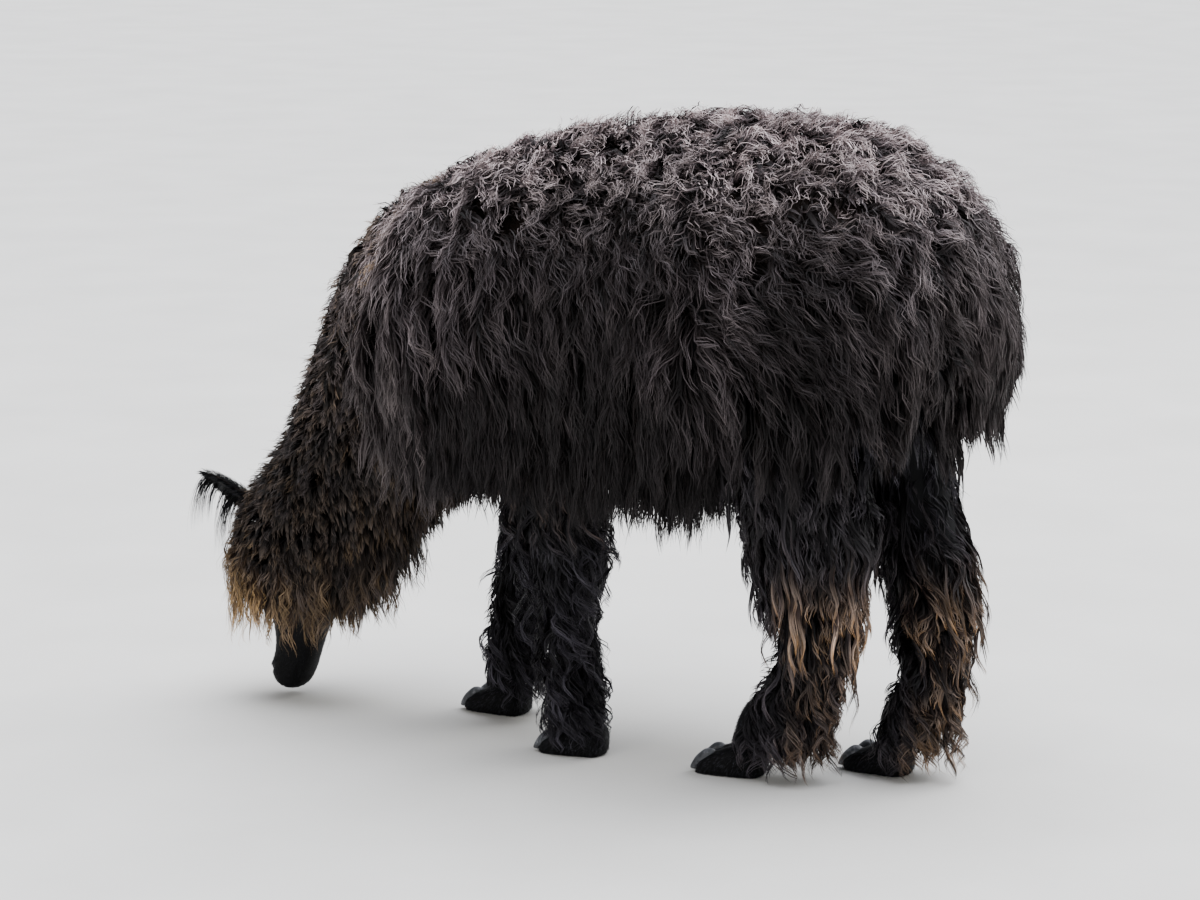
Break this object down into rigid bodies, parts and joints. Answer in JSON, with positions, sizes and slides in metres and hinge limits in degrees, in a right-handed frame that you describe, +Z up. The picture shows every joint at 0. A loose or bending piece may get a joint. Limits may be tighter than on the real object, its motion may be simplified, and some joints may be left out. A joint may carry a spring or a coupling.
{
  "type": "alpaca",
  "caption": "Life-size still model of a dark, unshorn alpaca standing and grazing, its woolly head lowered to the ground.",
  "frame": {"origin": "on the floor, under the middle of the model's box", "axes": "the animal faces -X, its left side is towards -Y, +Z up"},
  "size_m": [1.3422, 0.5556, 0.987],
  "materials": {
    "fleece": "matt brown-black fleece in long wavy locks",
    "neck_wool": "matt dark brown wool in short curly tufts, golden brown at the fringe's tips",
    "leg_wool": "black wavy locks with brown tips",
    "face_hair": "short black velvety hair",
    "nail": "dull dark grey horn",
    "eye": "wet, very dark brown"
  },
  "bodies": {
    "root": {"trunk": "fleece", "tail": "fleece", "neck": "neck_wool", "topknot": "neck_wool", "head": "face_hair", "ear_left": "face_hair", "ear_right": "face_hair", "eye_left": "eye", "eye_right": "eye", "foreleg_left_upper": "leg_wool", "foreleg_left_lower": "leg_wool", "foreleg_left_foot": "face_hair", "foreleg_left_nail_outer": "nail", "foreleg_left_nail_inner": "nail", "foreleg_right_upper": "leg_wool", "foreleg_right_lower": "leg_wool", "foreleg_right_foot": "face_hair", "foreleg_right_nail_outer": "nail", "foreleg_right_nail_inner": "nail", "hindleg_left_upper": "leg_wool", "hindleg_left_lower": "leg_wool", "hindleg_left_foot": "face_hair", "hindleg_left_nail_outer": "nail", "hindleg_left_nail_inner": "nail", "hindleg_right_upper": "leg_wool", "hindleg_right_lower": "leg_wool", "hindleg_right_foot": "face_hair", "hindleg_right_nail_outer": "nail", "hindleg_right_nail_inner": "nail"}
  },
  "joints": []
}
